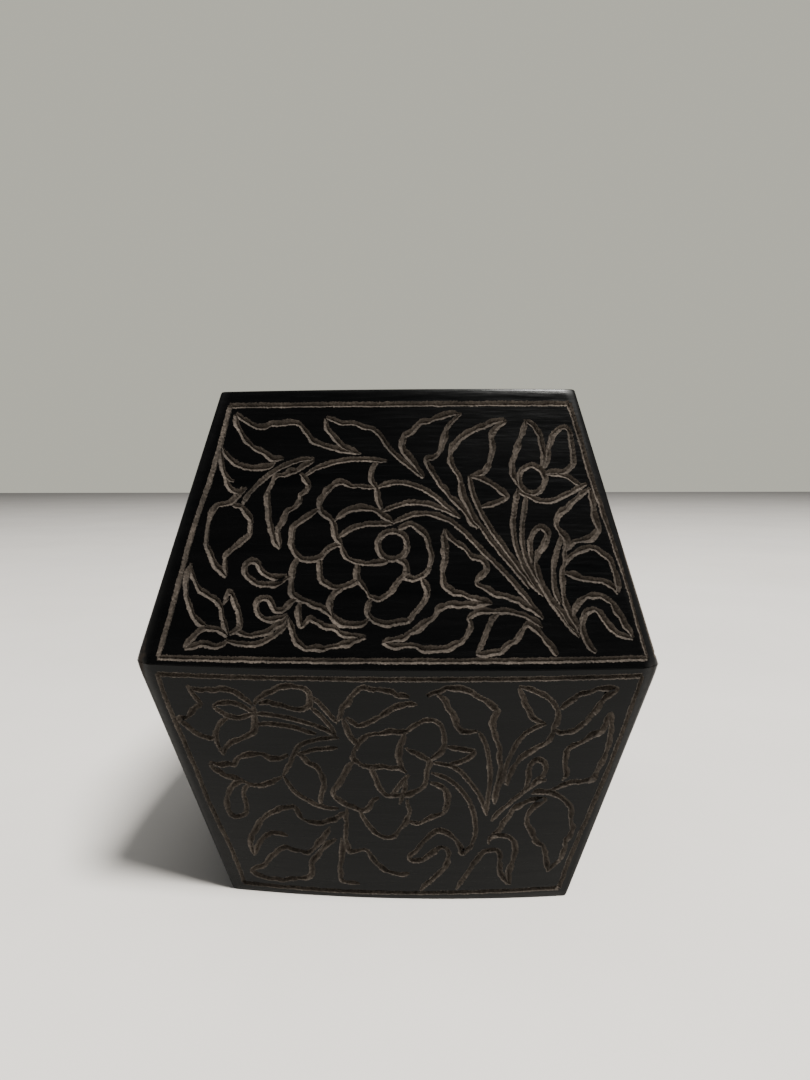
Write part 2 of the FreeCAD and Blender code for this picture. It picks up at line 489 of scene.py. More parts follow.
def carve(board, lines, wood):
    """Cuts every line out of the board, as a gouge would, and shows bare wood in the cuts."""
    lines.data.materials.append(wood)
    lines.data.materials.append(wood)
    for face in lines.data.polygons:
        face.material_index = 1
    pick(lines)
    bpy.ops.object.mode_set(mode="EDIT")
    bpy.ops.mesh.select_all(action="SELECT")
    bpy.ops.mesh.normals_make_consistent(inside=False)
    bpy.ops.mesh.separate(type="LOOSE")
    bpy.ops.object.mode_set(mode="OBJECT")
    cutters = bpy.data.collections.new("cutters")
    bpy.context.scene.collection.children.link(cutters)
    for cutter in list(bpy.context.selected_objects):
        cutters.objects.link(cutter)
    pick(board)
    cut = board.modifiers.new("cut", "BOOLEAN")
    cut.operation = "DIFFERENCE"
    cut.solver = "MANIFOLD"
    cut.operand_type = "COLLECTION"
    cut.collection = cutters
    bpy.ops.object.modifier_apply(modifier="cut")
    for cutter in list(cutters.objects):
        bpy.data.objects.remove(cutter)
    bpy.data.collections.remove(cutters)


def turned_copy(piece, name, turn, mirrored):
    """A copy with its own mesh, mirrored if asked, then turned about the box's middle."""
    pick(piece)
    bpy.ops.object.duplicate()
    copy = bpy.context.object
    copy.name = name
    copy.data.name = name
    if mirrored:
        copy.scale.x = -1
        bpy.ops.object.transform_apply(location=False, rotation=False, scale=True)
        bpy.ops.object.mode_set(mode="EDIT")
        bpy.ops.mesh.select_all(action="SELECT")
        bpy.ops.mesh.normals_make_consistent(inside=False)
        bpy.ops.object.mode_set(mode="OBJECT")
    copy.rotation_euler.z = math.radians(turn)
    bpy.ops.object.transform_apply(location=False, rotation=True, scale=False)
    return copy


def smooth(piece, angle):
    pick(piece)
    bpy.ops.object.shade_smooth_by_angle(angle=math.radians(angle))


def stand_for(piece, node, body):
    """The piece replaces that part of the solid model and moves with its body."""
    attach(piece, body)
    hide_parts(node)


def carved_walls(part, body, heights, worn_edge, strokes, shift):
    """The front wall is cut once and the other three are copies of it, mirrored on the
    right and the left, so that like ends of the scroll meet at each corner."""
    front = wall_board("carved_" + part + "_front", heights, worn_edge)
    front.data.materials.append(lacquer_x)
    front.data.materials.append(bare_cuts)
    lines = cut_lines(part + "_lines", strokes, shift)
    lay_on_face(lines)
    carve(front, lines, bare_cuts)
    smooth(front, 25)
    for side, turn, mirrored, lacquer in (("right", 90, True, lacquer_y),
                                          ("back", 180, False, lacquer_x),
                                          ("left", 270, True, lacquer_y)):
        wall = turned_copy(front, "carved_" + part + "_" + side, turn, mirrored)
        wall.data.materials[0] = lacquer
        stand_for(wall, part + "_" + side + "_panel", body)
    stand_for(front, part + "_front_panel", body)


lacquer_x = black_lacquer("black_lacquer_front_and_back", "x")
lacquer_y = black_lacquer("black_lacquer_right_and_left", "y")
bare_cuts = cut_wood("cut_wood")

# Each cut as points (x, height) in millimetres along its middle, drawn after the photograph:
# first the frame, then stems, petals and leaves.
body_strokes = [
    [(-58.0, 65.2), (-56.5, 57.5), (-54.4, 49.5), (-52.6, 42.7), (-50.9, 36.3), (-49.4, 29.5),
     (-47.5, 23.0), (-45.6, 17.0), (-44.0, 11.5), (-42.2, 2.8)],
    [(-58.2, 65.0), (-30.0, 65.1), (0.0, 65.2), (30.0, 65.4), (59.0, 65.6)],
    [(59.0, 65.5), (57.4, 58.5), (55.6, 50.5), (53.7, 42.7), (52.0, 36.5), (50.2, 30.5),
     (48.5, 24.5), (46.9, 19.3), (45.4, 13.8), (43.9, 8.0), (42.8, 3.0)],
    [(-42.4, 2.7), (-20.0, 2.2), (0.0, 2.2), (20.0, 2.6), (42.9, 3.1)],
    [(-51.6, 53.2), (-50.5, 54.8), (-49.3, 56.2), (-47.8, 57.5), (-48.9, 59.2), (-49.9, 60.8),
     (-50.8, 62.4)],
    [(-50.8, 62.3), (-49.2, 61.2), (-46.5, 61.3), (-43.5, 61.6), (-40.8, 61.6), (-38.4, 60.9),
     (-36.5, 59.6), (-34.8, 57.6)],
    [(-51.6, 53.2), (-54.0, 53.0), (-52.4, 51.2), (-50.5, 49.4), (-48.5, 48.2), (-46.6, 47.6),
     (-45.2, 47.8)],
    [(-44.6, 56.9), (-43.2, 57.8), (-40.7, 58.1), (-38.2, 57.7), (-36.4, 56.7), (-34.8, 55.4)],
    [(-44.6, 56.8), (-43.0, 55.4), (-41.0, 54.4), (-39.2, 54.0), (-37.0, 54.3), (-34.8, 55.2)],
    [(-41.0, 54.0), (-42.8, 52.8), (-44.2, 50.9), (-44.9, 48.6), (-44.8, 46.0), (-43.4, 43.2)],
    [(-43.3, 43.1), (-42.4, 45.2), (-40.9, 47.2), (-39.0, 48.2), (-36.9, 48.9), (-35.2, 50.3),
     (-34.6, 52.6), (-34.6, 55.1), (-34.6, 57.4)],
    [(-34.4, 57.6), (-32.9, 59.6), (-30.4, 61.0), (-27.9, 62.6), (-25.2, 63.1), (-22.4, 62.8),
     (-20.6, 61.5), (-20.2, 59.6), (-20.8, 57.8), (-23.4, 56.7), (-26.0, 57.2), (-28.2, 57.9),
     (-30.6, 58.6), (-33.2, 58.0)],
    [(-20.1, 60.4), (-18.3, 59.0), (-16.6, 56.8), (-14.9, 54.6), (-13.9, 53.2)],
    [(-20.5, 57.6), (-18.6, 55.9), (-16.9, 54.0), (-15.5, 51.9), (-14.4, 49.5)],
    [(-34.4, 55.3), (-31.5, 55.2), (-28.2, 54.8), (-25.0, 54.2), (-21.8, 53.2), (-18.8, 52.2),
     (-16.4, 51.0), (-14.6, 49.6)],
    [(-34.4, 52.1), (-31.5, 52.6), (-28.2, 52.4), (-25.0, 51.9), (-22.0, 50.9), (-19.4, 50.1)],
    [(-28.6, 37.6), (-26.8, 41.0), (-25.3, 44.2), (-23.9, 46.4), (-21.6, 47.9), (-18.8, 48.7),
     (-15.6, 49.2), (-13.6, 49.2)],
    [(-24.6, 44.1), (-22.8, 44.8), (-20.8, 45.5), (-18.6, 45.9), (-16.4, 46.2), (-14.2, 46.4)],
    [(-47.6, 40.4), (-45.6, 40.3), (-43.2, 40.6), (-41.0, 40.6), (-40.0, 42.0), (-37.4, 43.4),
     (-34.4, 43.8), (-31.4, 43.0), (-28.8, 42.8), (-26.6, 44.0)],
    [(-47.6, 40.1), (-45.8, 38.2), (-43.6, 37.0), (-41.2, 36.3), (-38.8, 35.4), (-36.0, 34.5),
     (-33.4, 34.8), (-31.0, 36.1), (-28.9, 37.8)],
    [(-37.4, 34.7), (-38.9, 33.4), (-39.6, 31.6), (-39.0, 29.9), (-38.9, 27.8), (-39.4, 25.8),
     (-40.7, 24.7), (-42.6, 24.7), (-43.9, 26.0), (-44.3, 28.2), (-43.8, 31.0), (-42.5, 33.4),
     (-40.8, 35.0), (-39.0, 35.6)],
    [(-28.4, 37.6), (-27.2, 35.4), (-26.2, 33.6), (-24.2, 31.8), (-21.8, 30.3), (-19.8, 29.1),
     (-17.4, 28.6), (-14.8, 28.5)],
    [(-24.9, 44.4), (-22.8, 43.0), (-20.8, 41.6), (-19.3, 39.8), (-18.4, 37.4), (-18.3, 34.8),
     (-19.0, 32.4), (-19.2, 30.4), (-18.8, 28.9)],
    [(-14.0, 53.4), (-12.8, 56.6), (-11.2, 59.2), (-9.4, 61.7), (-7.3, 62.9), (-4.5, 62.8),
     (-2.0, 62.5), (0.5, 61.5), (3.6, 60.6)],
    [(-11.8, 54.8), (-10.4, 53.7), (-8.6, 53.1), (-6.4, 53.6), (-3.8, 55.1), (-1.5, 56.7),
     (0.6, 58.1), (3.0, 58.7), (5.8, 58.4)],
    [(-12.4, 54.6), (-11.8, 51.8), (-10.8, 49.4), (-9.2, 47.2), (-10.2, 45.2), (-10.8, 43.4),
     (-9.4, 42.2), (-7.0, 41.2), (-4.6, 41.2), (-2.2, 41.2), (0.2, 40.8), (2.2, 40.0)],
    [(-9.0, 47.4), (-8.0, 48.9), (-5.6, 50.2), (-2.8, 50.9), (0.0, 51.3), (2.2, 51.0), (4.0, 52.6),
     (6.4, 54.0), (8.8, 54.4), (11.0, 53.3), (11.6, 51.2), (12.0, 48.6), (11.5, 46.0), (10.0, 44.2),
     (8.4, 43.4)],
    [(2.3, 50.8), (1.7, 48.6), (1.1, 46.1), (0.9, 43.6), (1.4, 41.2), (2.6, 39.6)],
    [(-6.4, 41.3), (-5.7, 39.3), (-4.9, 36.9), (-4.1, 34.9), (-2.9, 33.3), (-1.4, 32.8), (1.2, 32.9),
     (3.4, 33.5), (5.6, 34.5), (7.1, 36.2), (7.7, 38.6), (7.9, 40.9), (8.2, 42.6), (6.8, 44.2),
     (4.6, 45.5), (2.4, 47.0)],
    [(-10.6, 42.4), (-11.9, 40.6), (-13.5, 37.4), (-14.9, 35.6), (-15.8, 33.6), (-15.1, 31.6),
     (-13.3, 30.3), (-11.3, 29.2), (-8.8, 28.2), (-7.2, 29.2), (-6.2, 30.8), (-4.4, 32.4)],
    [(-9.5, 28.2), (-8.7, 26.1), (-7.7, 24.2), (-6.4, 22.3), (-5.4, 21.0), (-3.7, 20.1),
     (-1.6, 20.2), (-0.1, 21.2), (1.2, 23.2), (2.4, 25.4), (3.2, 27.4), (2.9, 29.6), (2.6, 31.8)],
    [(8.4, 36.9), (10.4, 36.0), (12.0, 34.9), (12.9, 33.0), (12.7, 30.2), (12.0, 27.9), (9.8, 26.9),
     (7.6, 25.7), (5.6, 24.5), (3.2, 25.0)],
    [(12.6, 47.1), (15.0, 46.7), (17.2, 46.3), (19.2, 45.6), (17.6, 43.6), (15.2, 42.6),
     (12.8, 42.0)],
    [(9.3, 42.5), (12.5, 41.9), (15.2, 40.7), (17.3, 38.6), (19.2, 36.0), (20.8, 33.2), (22.0, 30.2),
     (22.9, 27.0)],
    [(8.8, 39.6), (11.3, 38.8), (13.5, 37.4), (15.6, 35.4), (17.4, 33.0), (18.8, 30.0), (19.8, 26.5),
     (20.1, 23.0), (19.8, 20.0), (19.0, 17.8)],
    [(7.6, 60.5), (9.8, 62.0), (12.5, 62.8), (15.3, 62.9), (18.0, 62.1), (20.6, 60.7), (22.9, 59.2),
     (24.6, 57.4), (24.1, 55.4), (23.6, 53.0), (24.3, 50.0), (25.3, 46.5), (25.9, 43.0),
     (25.9, 39.0), (25.4, 35.0), (24.4, 30.5)],
    [(10.3, 61.6), (12.0, 60.2), (13.0, 57.8), (14.2, 55.3), (15.0, 53.0), (16.2, 51.5),
     (18.0, 51.1), (20.3, 51.6)],
    [(20.4, 51.3), (21.8, 48.4), (22.7, 45.4), (23.2, 42.0), (23.4, 38.0), (23.2, 34.0),
     (22.9, 30.5), (22.8, 27.5)],
    [(29.8, 63.0), (32.2, 62.6), (34.6, 61.7), (36.6, 60.2), (38.4, 58.2), (39.3, 56.0),
     (39.1, 53.6), (38.4, 51.8)],
    [(29.9, 62.8), (30.7, 60.5), (31.6, 58.0), (32.8, 55.7), (34.4, 54.2), (36.4, 53.2)],
    [(39.8, 57.4), (42.0, 59.2), (44.4, 61.0), (47.0, 62.0), (50.0, 62.6), (53.2, 62.3),
     (51.0, 60.4), (49.0, 58.0), (47.2, 55.0), (45.2, 52.4), (42.8, 51.0), (40.4, 50.7),
     (38.8, 51.8)],
    [(36.6, 53.1), (34.2, 52.4), (31.8, 50.8), (30.0, 48.4), (28.6, 45.4), (27.4, 42.0),
     (26.5, 38.5), (25.8, 35.0)],
    [(38.6, 51.9), (38.0, 49.4), (36.0, 47.6), (33.6, 46.0), (31.6, 44.3), (29.8, 42.0),
     (28.5, 39.0), (27.4, 36.0)],
    [(30.4, 31.9), (32.2, 34.4), (33.0, 37.2), (33.0, 40.0), (33.6, 42.2), (35.1, 43.3),
     (36.5, 42.7), (37.2, 41.0), (36.7, 38.7), (35.2, 36.9), (33.2, 35.2)],
    [(37.6, 37.4), (35.4, 36.8), (33.0, 34.9), (30.6, 32.8), (28.4, 30.4), (26.2, 28.2),
     (24.0, 25.2)],
    [(52.2, 56.2), (52.6, 53.0), (52.6, 49.5), (52.2, 46.0), (51.3, 42.5), (50.3, 39.4),
     (49.0, 37.3), (46.4, 36.6), (43.6, 36.4), (41.0, 35.3), (38.6, 34.1)],
    [(52.0, 56.0), (51.2, 52.8), (49.6, 50.6), (47.2, 49.2), (45.0, 47.6), (42.8, 46.2),
     (41.8, 44.0), (41.9, 41.2), (42.6, 38.8), (41.6, 36.8)],
    [(24.2, 19.6), (26.0, 22.6), (28.0, 26.0), (30.2, 28.9), (32.6, 30.8), (35.2, 31.6),
     (37.4, 31.6), (35.2, 29.9), (33.6, 27.8), (33.2, 25.2), (33.9, 23.0), (34.9, 20.8),
     (36.0, 18.4), (37.6, 16.9), (38.5, 14.6), (38.9, 11.6), (39.4, 8.6)],
    [(33.6, 33.3), (36.4, 33.9), (38.9, 33.5), (41.2, 32.2), (43.2, 30.4), (44.5, 28.0),
     (44.4, 25.2), (45.1, 22.6), (44.8, 20.2), (43.6, 17.8), (43.3, 15.2), (42.6, 13.0),
     (41.2, 11.2), (39.6, 9.0)],
    [(23.6, 18.0), (24.3, 20.0), (26.5, 20.7), (28.6, 20.2), (30.0, 18.4), (30.6, 15.8),
     (30.2, 12.8), (29.4, 9.8), (29.3, 7.0), (29.4, 4.8)],
    [(15.2, 3.4), (16.7, 6.3), (18.3, 9.0), (19.7, 11.6), (20.8, 13.6), (22.2, 15.2), (24.2, 16.2),
     (26.0, 15.9), (26.9, 14.4), (26.7, 12.2), (26.6, 9.8), (27.8, 7.0), (29.0, 5.0)],
    [(19.4, 18.0), (18.0, 16.4), (16.9, 15.2), (16.0, 17.2), (15.1, 19.3), (13.6, 21.1),
     (11.6, 22.1), (9.4, 21.8), (7.8, 20.4), (6.5, 18.4), (5.0, 16.4), (3.4, 14.6), (3.7, 12.9),
     (5.6, 12.8), (7.6, 13.7), (9.3, 15.5), (11.0, 17.2), (12.5, 16.9), (13.3, 15.0), (13.0, 12.4),
     (11.6, 9.8), (9.5, 7.3), (7.4, 5.2), (5.6, 3.2)],
    [(-12.6, 28.6), (-13.1, 25.0), (-13.3, 21.5), (-13.4, 18.0), (-12.6, 15.6), (-10.6, 15.4),
     (-8.4, 15.8), (-7.0, 14.0), (-5.6, 11.8), (-3.8, 9.9), (-1.8, 8.8), (0.6, 8.4), (3.2, 8.5)],
    [(-14.6, 19.6), (-14.3, 16.0), (-14.8, 12.0), (-15.3, 8.5), (-15.0, 5.8), (-12.8, 5.4),
     (-10.2, 5.0)],
    [(-38.4, 12.2), (-39.1, 14.6), (-38.7, 17.6), (-37.3, 20.8), (-35.4, 23.8), (-33.3, 26.1),
     (-30.8, 27.1), (-28.6, 28.2), (-26.6, 28.3), (-25.2, 27.0), (-24.2, 24.8), (-21.5, 23.9),
     (-18.6, 24.2), (-16.0, 25.4), (-13.2, 27.4)],
    [(-38.2, 12.4), (-37.4, 15.2), (-35.8, 17.8), (-33.6, 19.6), (-31.0, 20.0), (-28.8, 19.2)],
    [(-40.2, 7.2), (-37.6, 8.4), (-35.4, 10.0), (-33.6, 12.4), (-31.4, 14.6), (-28.8, 15.7),
     (-26.4, 14.8), (-23.8, 14.4), (-21.6, 16.2), (-19.8, 18.6), (-18.3, 21.2), (-17.4, 23.0)],
    [(-40.2, 7.0), (-37.6, 5.7), (-34.6, 4.9), (-31.0, 4.9), (-27.8, 5.4), (-25.2, 5.8),
     (-23.6, 6.6), (-23.0, 8.6), (-22.8, 11.0), (-21.4, 13.6), (-19.5, 15.9), (-17.6, 18.0),
     (-16.0, 19.2)],
    [(3.3, 39.1), (2.0, 37.5), (0.8, 35.8), (-0.4, 34.0), (-1.6, 32.7)],
    [(2.6, 37.6), (2.2, 35.2), (1.5, 32.6), (0.8, 30.2)],
]

# The heights of the rows of faces, and how far the foot's edge is rubbed back at two of them
body_heights = [0.0, 0.15, 0.5] + [2.0 * row for row in range(1, 33)] + [66.0, 67.05, ridge_height]
foot_wear = {0.0: 0.5, 0.15: 0.15}
carved_walls("body", "box_body", body_heights, foot_wear, body_strokes, shift=(0.4, -0.25))


# The four walls of the lid
# The same boards turned over, leaning inwards, with their edges rubbed a little. The peony
# with its leaves and buds is cut larger here, inside a frame of four straight cuts.

lid_strokes = [
    [(-43.0, 130.8), (-46.4, 115.0), (-50.7, 100.0), (-53.3, 88.0), (-55.2, 79.0), (-57.5, 69.3)],
    [(-43.2, 130.9), (-20.0, 130.8), (10.0, 130.8), (43.4, 130.9)],
    [(43.3, 130.9), (45.6, 123.0), (47.8, 114.0), (51.1, 103.0), (53.9, 94.0), (56.2, 86.0),
     (58.4, 76.7), (60.2, 69.6)],
    [(-57.7, 69.1), (-30.0, 69.3), (0.0, 69.5), (30.0, 69.6), (60.2, 69.7)],
    [(-41.4, 128.9), (-39.0, 127.3), (-36.6, 125.8), (-34.6, 125.3), (-32.0, 126.1), (-28.6, 126.2),
     (-26.0, 126.6), (-24.0, 125.2), (-22.2, 123.0), (-20.0, 121.2), (-17.2, 120.1), (-14.0, 119.5),
     (-11.0, 118.9), (-8.3, 118.2)],
    [(-41.6, 128.7), (-41.1, 126.2), (-39.6, 123.6), (-37.6, 121.3), (-35.2, 119.6), (-32.4, 118.3),
     (-30.5, 117.2), (-28.0, 117.3)],
    [(-44.6, 120.2), (-42.8, 117.9), (-40.6, 116.0), (-37.5, 115.0), (-34.5, 114.9), (-32.0, 115.6),
     (-30.2, 116.9)],
    [(-44.8, 119.6), (-44.5, 116.2), (-43.6, 113.8), (-42.4, 112.2), (-40.8, 111.7)],
    [(-43.3, 113.0), (-42.4, 110.6), (-40.8, 109.4), (-38.9, 109.0), (-37.4, 110.0)],
    [(-17.9, 127.6), (-16.0, 126.9), (-13.5, 126.1), (-10.5, 126.0), (-8.0, 125.1), (-6.0, 124.6),
     (-4.5, 123.4), (-3.0, 121.4), (-1.3, 119.2), (1.2, 116.9), (3.8, 114.8), (6.8, 112.4)],
    [(-18.0, 127.4), (-17.5, 125.0), (-16.0, 122.6), (-14.0, 120.9), (-11.5, 119.6), (-9.0, 118.5)],
    [(-20.4, 117.3), (-22.9, 117.1), (-25.4, 116.5), (-28.4, 115.3), (-30.8, 114.0), (-32.5, 112.7),
     (-34.5, 111.0), (-36.7, 108.5), (-38.5, 105.7)],
    [(-40.8, 105.9), (-38.4, 105.2), (-36.8, 103.4), (-35.9, 101.0), (-36.3, 98.8), (-38.0, 96.8),
     (-40.2, 95.1), (-41.9, 93.3), (-41.9, 90.8), (-41.6, 88.4)],
    [(-20.6, 117.1), (-22.8, 115.6), (-24.9, 114.3), (-27.4, 113.5), (-29.8, 112.7), (-31.1, 111.1),
     (-32.1, 108.6), (-32.2, 106.1), (-31.4, 103.5), (-30.9, 100.0), (-30.0, 97.4), (-28.4, 95.3)],
    [(-38.4, 110.1), (-39.0, 108.6), (-40.0, 107.3), (-41.7, 106.3), (-43.8, 105.9), (-45.9, 104.4),
     (-46.9, 101.6), (-47.2, 98.4), (-46.6, 95.0), (-45.2, 92.0), (-43.2, 89.8), (-41.6, 88.3)],
    [(-2.3, 116.5), (-6.0, 116.9), (-10.0, 117.0), (-14.0, 116.6), (-17.5, 115.7), (-20.0, 114.7),
     (-22.5, 113.1)],
    [(-24.2, 113.5), (-22.8, 112.4), (-21.9, 110.9), (-22.1, 109.3), (-23.6, 108.1), (-23.6, 106.8),
     (-25.1, 105.2), (-27.1, 103.7), (-27.9, 101.8), (-28.9, 99.3), (-28.5, 95.4)],
    [(16.3, 128.5), (13.0, 128.3), (9.5, 127.2), (6.0, 125.9), (4.0, 124.1), (2.0, 122.8),
     (1.4, 120.8), (2.2, 118.8), (4.2, 116.4), (5.8, 114.2), (6.9, 112.5)],
    [(16.2, 128.3), (14.0, 126.6), (12.5, 124.3), (11.7, 121.7), (11.1, 119.2), (9.9, 117.8),
     (7.7, 116.8), (8.5, 114.4), (10.4, 111.6), (13.0, 108.5), (15.7, 105.6), (18.0, 102.9),
     (19.9, 100.0)],
    [(27.0, 126.9), (24.0, 126.2), (21.0, 125.0), (18.0, 123.7), (16.0, 121.9), (14.2, 120.0),
     (13.3, 117.7), (13.9, 115.4), (15.2, 113.0), (16.1, 110.0), (17.0, 107.0), (18.6, 103.8),
     (20.5, 100.3)],
    [(27.6, 126.6), (25.2, 125.2), (23.9, 122.9), (23.8, 120.4), (23.4, 117.9), (22.8, 115.7),
     (21.8, 114.1), (20.2, 113.3), (18.4, 112.9)],
    [(18.2, 112.9), (21.0, 112.2), (23.4, 110.9), (25.6, 109.2), (27.2, 107.7), (25.2, 106.4),
     (22.6, 105.8), (20.4, 105.0)],
    [(18.1, 112.8), (18.5, 110.0), (19.3, 107.3), (20.6, 104.5), (22.2, 101.6), (24.6, 98.0),
     (27.4, 94.2), (30.2, 90.4), (33.0, 86.9), (35.3, 84.5)],
    [(20.4, 101.2), (22.4, 98.4), (25.0, 95.0), (27.9, 91.6), (30.4, 88.6), (32.4, 86.0)],
    [(-4.4, 110.0), (-2.2, 110.9), (0.6, 111.3), (3.4, 110.9), (6.0, 110.0), (8.4, 108.8),
     (10.6, 107.0), (13.0, 104.9), (15.6, 102.7)],
    [(-3.5, 104.2), (-1.4, 105.0), (1.0, 105.9), (3.4, 106.4), (6.2, 106.3), (9.0, 105.8),
     (12.0, 104.6), (15.8, 102.8)],
    [(-0.6, 101.4), (1.8, 102.6), (4.6, 103.6), (7.6, 103.7), (10.6, 103.1), (13.4, 101.9),
     (16.0, 100.0), (18.8, 97.2), (21.8, 94.2), (24.8, 91.3), (27.8, 88.2), (30.6, 85.0),
     (33.6, 81.4)],
    [(-4.4, 116.6), (-5.7, 114.6), (-6.0, 112.2), (-4.9, 110.0), (-4.3, 107.4), (-3.6, 104.6)],
    [(-4.4, 110.0), (-7.0, 110.4), (-10.0, 110.3), (-12.5, 111.2), (-14.2, 111.5), (-15.8, 110.4),
     (-17.5, 108.6), (-19.0, 106.6), (-18.5, 104.8), (-16.6, 103.0), (-15.2, 101.0), (-14.5, 98.6),
     (-13.2, 96.2)],
    [(-15.2, 101.6), (-12.7, 103.8), (-9.3, 105.0), (-6.0, 104.9), (-2.8, 103.1), (-0.6, 101.5)],
    [(-14.0, 97.9), (-11.0, 99.9), (-7.8, 101.0), (-4.0, 101.3), (-0.6, 101.3)],
    [(-18.8, 104.9), (-21.0, 103.7), (-23.5, 102.1), (-25.2, 100.0), (-25.6, 97.0), (-25.0, 94.6),
     (-23.2, 93.1), (-20.6, 92.7), (-18.4, 93.3), (-16.8, 94.9), (-14.6, 96.1), (-13.0, 95.9)],
    [(-23.8, 93.0), (-24.8, 90.8), (-25.1, 88.0), (-24.9, 85.2), (-23.8, 83.9), (-21.8, 83.0),
     (-19.6, 82.0), (-17.2, 81.4), (-15.6, 79.9), (-13.6, 78.2), (-11.0, 77.6)],
    [(-18.6, 93.2), (-18.2, 90.5), (-18.0, 88.3), (-16.5, 86.9), (-14.0, 86.2), (-11.5, 86.6),
     (-9.2, 87.7), (-9.3, 89.9), (-9.0, 92.2)],
    [(-13.4, 96.3), (-12.4, 93.9), (-9.8, 92.5), (-7.0, 91.9), (-3.8, 92.3), (-0.4, 92.9),
     (2.2, 92.2), (2.8, 90.0), (1.2, 87.8), (-0.9, 85.2), (-3.3, 83.6), (-5.6, 84.2), (-7.2, 86.2),
     (-8.8, 87.7)],
    [(-4.2, 96.2), (-3.2, 98.6), (-0.6, 99.6), (1.9, 98.6), (3.0, 96.2), (1.9, 93.8), (-0.6, 92.8),
     (-3.2, 93.8), (-4.2, 96.2)],
    [(0.8, 100.4), (3.4, 101.0), (6.0, 100.1), (7.8, 97.6), (8.7, 94.8), (8.6, 91.8), (7.4, 89.4),
     (5.0, 88.4), (2.8, 88.6), (1.2, 87.8)],
    [(6.4, 88.4), (7.8, 86.3), (7.4, 83.9), (6.1, 81.8), (4.4, 79.6), (2.0, 78.4), (-0.8, 77.9),
     (-3.8, 78.2), (-5.8, 79.4), (-6.4, 81.4), (-5.2, 83.8)],
    [(-11.6, 86.6), (-14.4, 85.0), (-15.6, 82.4), (-14.5, 79.4), (-11.4, 77.8), (-8.0, 77.8),
     (-5.8, 79.2)],
    [(-22.8, 83.2), (-23.2, 81.0), (-23.0, 79.0), (-22.3, 77.2), (-20.4, 78.9), (-18.6, 78.3),
     (-17.2, 77.4), (-15.0, 77.0), (-12.8, 75.6), (-10.0, 75.0), (-6.6, 74.9)],
    [(-25.5, 79.0), (-24.7, 76.4), (-23.6, 74.0), (-22.0, 72.6), (-19.6, 72.0), (-16.6, 72.3),
     (-13.4, 73.0), (-10.0, 73.8), (-6.6, 74.9)],
    [(-24.9, 89.1), (-26.6, 88.0), (-28.9, 87.0), (-31.5, 86.6), (-34.0, 87.0), (-36.0, 88.1),
     (-36.9, 89.9), (-36.3, 91.5), (-35.0, 92.2), (-33.7, 91.5), (-32.4, 89.9), (-30.8, 88.7),
     (-28.5, 88.3), (-26.0, 89.1)],
    [(-23.8, 83.4), (-25.5, 82.0), (-27.2, 80.8), (-28.8, 80.8), (-29.6, 82.0), (-30.4, 83.2),
     (-31.7, 83.7), (-33.0, 83.0), (-33.6, 81.6), (-33.2, 80.1), (-32.1, 79.0), (-30.2, 78.5),
     (-27.9, 78.8), (-25.8, 79.8)],
    [(-50.8, 91.5), (-51.6, 88.5), (-51.6, 85.2), (-50.7, 81.8), (-49.3, 79.2), (-47.4, 77.3),
     (-45.4, 76.6)],
    [(-51.0, 91.2), (-50.2, 88.2), (-48.6, 86.0), (-46.4, 84.3), (-44.2, 82.9), (-42.4, 81.2),
     (-41.7, 78.8), (-41.1, 76.4), (-40.2, 74.9)],
    [(-41.8, 81.8), (-40.9, 83.4), (-40.2, 84.7), (-39.1, 82.6), (-37.8, 80.0), (-37.3, 77.6),
     (-38.0, 75.9), (-39.8, 75.0)],
    [(-51.0, 71.4), (-50.0, 73.2), (-48.4, 74.9), (-46.2, 76.1), (-43.8, 76.1), (-41.8, 75.5),
     (-40.2, 74.4)],
    [(-51.0, 71.3), (-48.5, 72.2), (-45.8, 72.5), (-43.0, 72.2), (-41.1, 72.5), (-40.0, 73.9)],
    [(-38.8, 75.4), (-36.5, 75.0), (-34.0, 74.9), (-31.5, 75.4), (-29.2, 76.4), (-27.2, 77.8),
     (-25.6, 79.6)],
    [(-40.0, 73.3), (-37.5, 72.9), (-35.0, 72.7), (-32.5, 73.1), (-30.0, 74.2), (-27.6, 75.8),
     (-25.6, 77.9)],
    [(32.2, 126.8), (31.6, 124.5), (30.5, 121.5), (29.2, 118.2), (28.5, 115.0), (29.1, 112.2),
     (30.9, 110.0)],
    [(32.4, 126.6), (34.4, 125.0), (35.8, 122.5), (36.4, 119.8), (36.6, 117.2), (36.2, 115.2)],
    [(36.6, 114.6), (37.4, 117.5), (38.0, 120.3), (39.2, 122.8), (41.0, 124.6), (42.9, 124.5),
     (43.5, 122.4), (43.8, 119.5), (44.0, 116.6), (43.0, 114.8), (41.0, 113.8), (38.6, 113.8),
     (36.6, 113.4)],
    [(30.3, 112.0), (31.3, 114.5), (33.5, 115.5), (35.7, 114.5), (36.7, 112.0), (35.7, 109.5),
     (33.5, 108.5), (31.3, 109.5), (30.3, 112.0)],
    [(37.2, 113.3), (39.8, 113.2), (42.2, 112.6), (44.0, 111.4), (45.8, 110.3)],
    [(29.6, 109.2), (32.0, 108.2), (34.5, 107.0), (37.0, 106.6), (39.6, 107.1), (42.2, 108.3),
     (44.6, 109.6), (47.2, 110.9)],
    [(30.0, 109.8), (29.3, 106.5), (28.7, 103.0), (28.6, 99.5), (29.2, 96.0), (30.5, 92.5),
     (32.2, 89.0), (34.0, 86.2), (35.6, 84.2)],
    [(32.1, 108.4), (31.4, 104.8), (30.8, 101.0), (30.7, 97.5), (31.4, 93.8), (33.2, 90.0),
     (35.2, 86.5), (37.4, 83.0), (39.6, 79.8), (41.8, 77.0), (43.9, 74.8)],
    [(33.0, 91.6), (32.6, 94.4), (32.6, 97.0), (33.5, 99.4), (35.1, 100.4), (36.8, 99.9),
     (37.2, 98.3), (36.2, 96.4), (34.9, 94.6), (34.0, 92.0), (34.4, 89.0), (36.0, 85.6),
